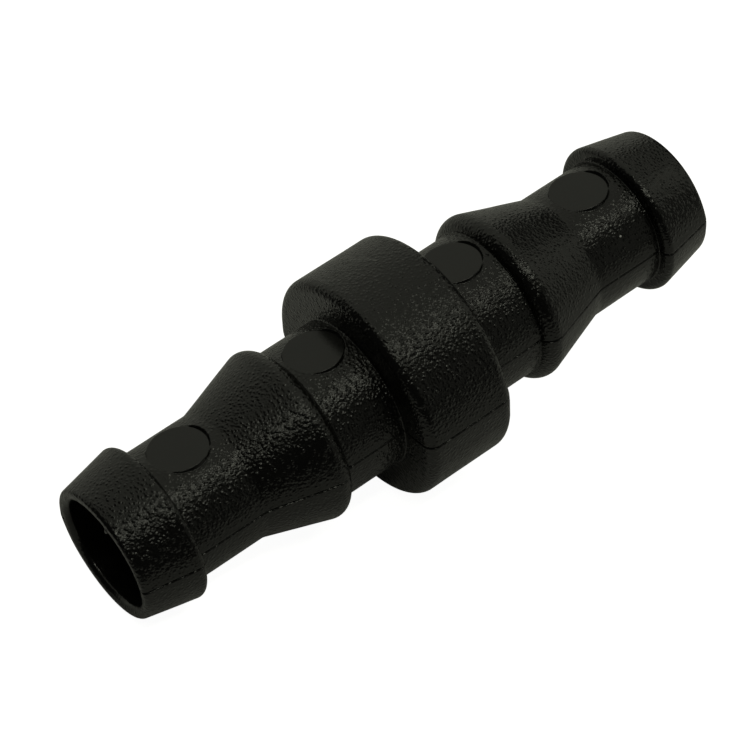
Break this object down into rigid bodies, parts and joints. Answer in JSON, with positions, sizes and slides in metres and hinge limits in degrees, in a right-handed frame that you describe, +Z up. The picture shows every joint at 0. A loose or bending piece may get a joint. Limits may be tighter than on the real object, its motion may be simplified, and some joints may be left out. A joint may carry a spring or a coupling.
{
  "type": "barbed hose joiner",
  "caption": "Straight barbed joiner for soft irrigation pipe: a hollow plastic tube with a stop collar at mid-length and barbed tails that push into the pipe ends.",
  "frame": {"origin": "centre of the bore, in the plane that halves the stop collar", "axes": "+X along the bore, +Z up through the ejector-pin marks, +Y in the mould's parting plane"},
  "size_m": [0.055, 0.0188, 0.0188],
  "materials": {
    "black_plastic": "fine spark-eroded grain, smooth on the ejector-pin marks"
  },
  "bodies": {
    "root": {"joiner_body": "black_plastic"}
  },
  "joints": []
}
